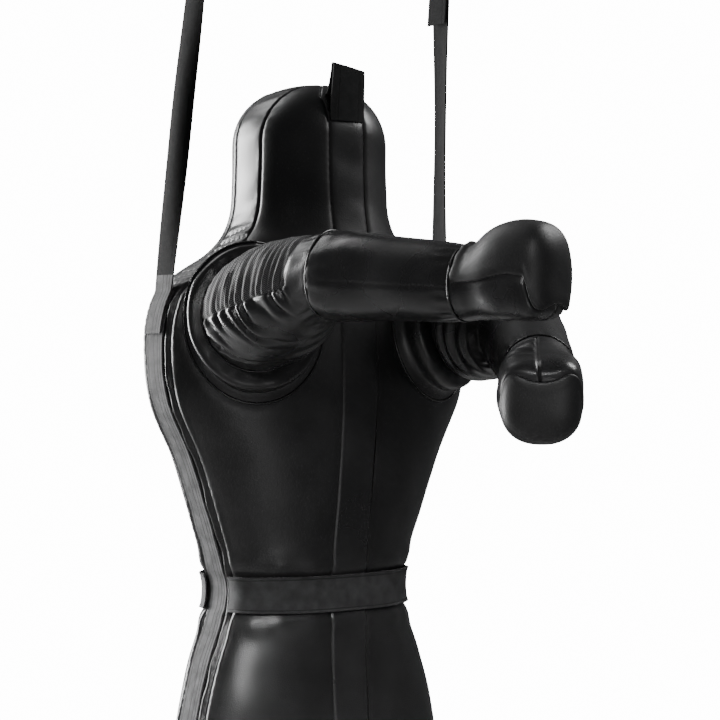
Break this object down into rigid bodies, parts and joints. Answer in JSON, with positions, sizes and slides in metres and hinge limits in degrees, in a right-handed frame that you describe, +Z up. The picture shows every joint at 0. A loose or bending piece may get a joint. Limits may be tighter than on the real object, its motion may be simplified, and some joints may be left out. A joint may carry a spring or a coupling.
{
  "type": "hanging punching bag",
  "caption": "Human-shaped hanging punching bag with stuffed arms and mitten hands, waist belt, side webbing and two shoulder straps on wire-gate hooks.",
  "frame": {"origin": "midway between the places where the two hooks bear on their anchors", "axes": "+Z up, -Y ahead of the bag, +X towards the bag's own left"},
  "size_m": [0.5152, 0.7025, 1.477],
  "materials": {
    "cover": "black grained synthetic leather, soft sheen",
    "strip": "black synthetic leather, slightly lighter strip",
    "piping": "black bound piping",
    "grey_webbing": "dark grey stitched polyester webbing",
    "black_webbing": "black polyester webbing",
    "belt_webbing": "dark grey woven belt",
    "woven": "coarse woven nylon",
    "filling": "packed textile shreds",
    "steel": "polished steel"
  },
  "bodies": {
    "hooks": {"hook_right": "steel", "hook_left": "steel"},
    "gate_right": {"wire_gate_right": "steel"},
    "gate_left": {"wire_gate_left": "steel"},
    "bag": {"body_filling": "filling", "front_panel_right": "cover", "front_panel_left": "cover", "front_strip": "strip", "back_panel_right": "cover", "back_panel_left": "cover", "back_strip": "strip", "side_gusset": "cover", "base_panel": "cover", "armhole_panel_right": "cover", "armhole_panel_left": "cover", "armhole_piping_right": "piping", "armhole_piping_left": "piping", "waist_belt": "belt_webbing", "side_webbing_right": "grey_webbing", "side_webbing_left": "grey_webbing", "crown_tab": "black_webbing", "strap_right": "black_webbing", "strap_left": "black_webbing", "d_ring_right": "steel", "d_ring_left": "steel"},
    "upper_arm_right": {"upper_filling_right": "filling", "woven_sleeve_right": "woven", "upper_sleeve_right": "cover"},
    "forearm_right": {"fore_filling_right": "filling", "fore_sleeve_right": "cover", "elbow_piping_right": "piping", "wrist_piping_right": "piping"},
    "hand_right": {"hand_filling_right": "filling", "finger_pad_right": "cover", "palm_ball_right": "cover"},
    "upper_arm_left": {"upper_filling_left": "filling", "woven_sleeve_left": "woven", "upper_sleeve_left": "cover"},
    "forearm_left": {"fore_filling_left": "filling", "fore_sleeve_left": "cover", "elbow_piping_left": "piping", "wrist_piping_left": "piping"},
    "hand_left": {"hand_filling_left": "filling", "finger_pad_left": "cover", "palm_ball_left": "cover"}
  },
  "joints": [
    {"name": "bag_swing", "type": "hinge", "parent": "hooks", "child": "bag", "pos_m": [0, 0, -0.078], "axis": [1, 0, 0], "range_deg": [-35, 35]},
    {"name": "gate_right_open", "type": "hinge", "parent": "hooks", "child": "gate_right", "pos_m": [-0.189, 0, -0.056], "axis": [0, -1, 0], "range_deg": [0, 25], "stiffness_Nm_per_rad": 0.3, "springref_deg": -5.73},
    {"name": "gate_left_open", "type": "hinge", "parent": "hooks", "child": "gate_left", "pos_m": [0.225, 0, -0.056], "axis": [0, -1, 0], "range_deg": [0, 25], "stiffness_Nm_per_rad": 0.3, "springref_deg": -5.73},
    {"name": "shoulder_right_lift", "type": "hinge", "parent": "bag", "child": "upper_arm_right", "pos_m": [-0.171, -0.075, -0.6], "axis": [-1, 0, 0], "range_deg": [-5, 25]},
    {"name": "elbow_right_bend", "type": "hinge", "parent": "upper_arm_right", "child": "forearm_right", "pos_m": [-0.16839, -0.22435, -0.54266], "axis": [0, 0, 1], "range_deg": [-19, 16]},
    {"name": "wrist_right_flex", "type": "hinge", "parent": "forearm_right", "child": "hand_right", "pos_m": [-0.10441, -0.41016, -0.5564], "axis": [-0.9455, -0.3256, 0], "range_deg": [-18, 18]},
    {"name": "shoulder_left_lift", "type": "hinge", "parent": "bag", "child": "upper_arm_left", "pos_m": [0.171, -0.075, -0.6], "axis": [-1, 0, 0], "range_deg": [-25, 5]},
    {"name": "elbow_left_bend", "type": "hinge", "parent": "upper_arm_left", "child": "forearm_left", "pos_m": [0.15158, -0.2332, -0.61394], "axis": [0, 0, -1], "range_deg": [-28, 16]},
    {"name": "wrist_left_flex", "type": "hinge", "parent": "forearm_left", "child": "hand_left", "pos_m": [0.04194, -0.38978, -0.6616], "axis": [-0.7547, 0.6561, 0], "range_deg": [-18, 18]}
  ]
}
